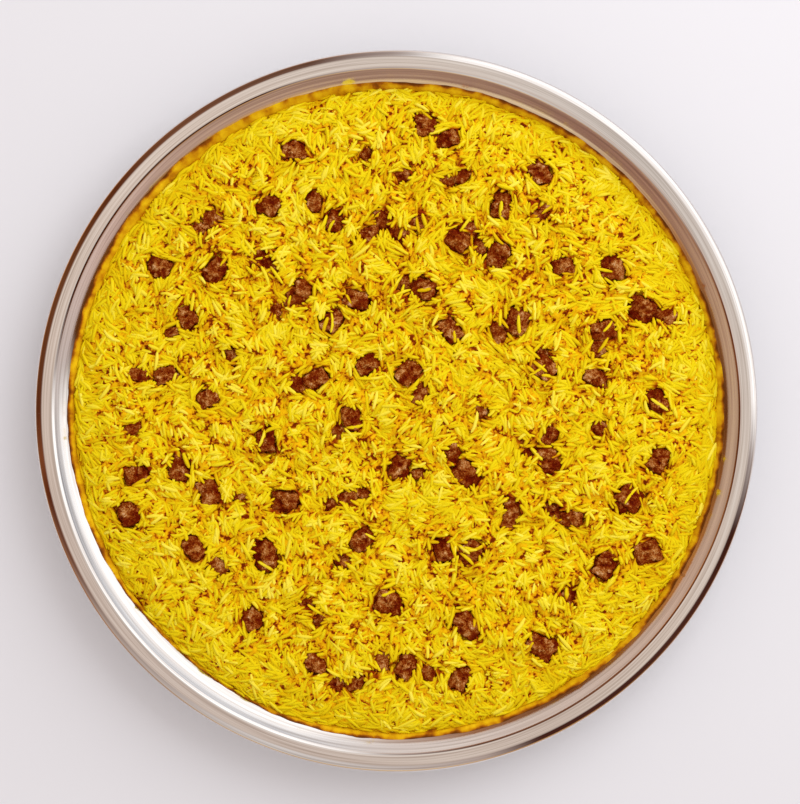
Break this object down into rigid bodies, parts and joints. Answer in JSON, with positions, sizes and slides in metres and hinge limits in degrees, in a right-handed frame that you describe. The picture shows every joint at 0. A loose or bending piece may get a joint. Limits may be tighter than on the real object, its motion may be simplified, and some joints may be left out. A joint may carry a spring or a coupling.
{
  "type": "tray of yellow rice",
  "caption": "Wide round steel serving tray with sloping sides and a rolled edge, filled with a low heap of yellow long-grain rice dotted with diced cooked meat.",
  "frame": {"origin": "middle of the tray's flat underside, on the surface it stands on", "axes": "+Z up out of the tray; +X and +Y across it, with the pieces of meat laid out as seen from above with +Y up"},
  "size_m": [0.7, 0.7, 0.06],
  "materials": {
    "steel": "polished stainless steel, faintly satin",
    "rice": "moist long-grain rice dyed yellow, soft gloss",
    "meat": "browned cooked meat, rough with a slight sheen"
  },
  "bodies": {
    "root": {"tray": "steel", "rice": "rice", "meat_01": "meat", "meat_02": "meat", "meat_03": "meat", "meat_04": "meat", "meat_05": "meat", "meat_06": "meat", "meat_07": "meat", "meat_08": "meat", "meat_09": "meat", "meat_10": "meat", "meat_11": "meat", "meat_12": "meat", "meat_13": "meat", "meat_14": "meat", "meat_15": "meat", "meat_16": "meat", "meat_17": "meat", "meat_18": "meat", "meat_19": "meat", "meat_20": "meat", "meat_21": "meat", "meat_22": "meat", "meat_23": "meat", "meat_24": "meat", "meat_25": "meat", "meat_26": "meat", "meat_27": "meat", "meat_28": "meat", "meat_29": "meat", "meat_30": "meat", "meat_31": "meat", "meat_32": "meat", "meat_33": "meat", "meat_34": "meat", "meat_35": "meat", "meat_36": "meat", "meat_37": "meat", "meat_38": "meat", "meat_39": "meat", "meat_40": "meat", "meat_41": "meat", "meat_42": "meat", "meat_43": "meat", "meat_44": "meat", "meat_45": "meat", "meat_46": "meat", "meat_47": "meat", "meat_48": "meat", "meat_49": "meat", "meat_50": "meat", "meat_51": "meat", "meat_52": "meat", "meat_53": "meat", "meat_54": "meat", "meat_55": "meat", "meat_56": "meat", "meat_57": "meat", "meat_58": "meat"}
  },
  "joints": []
}
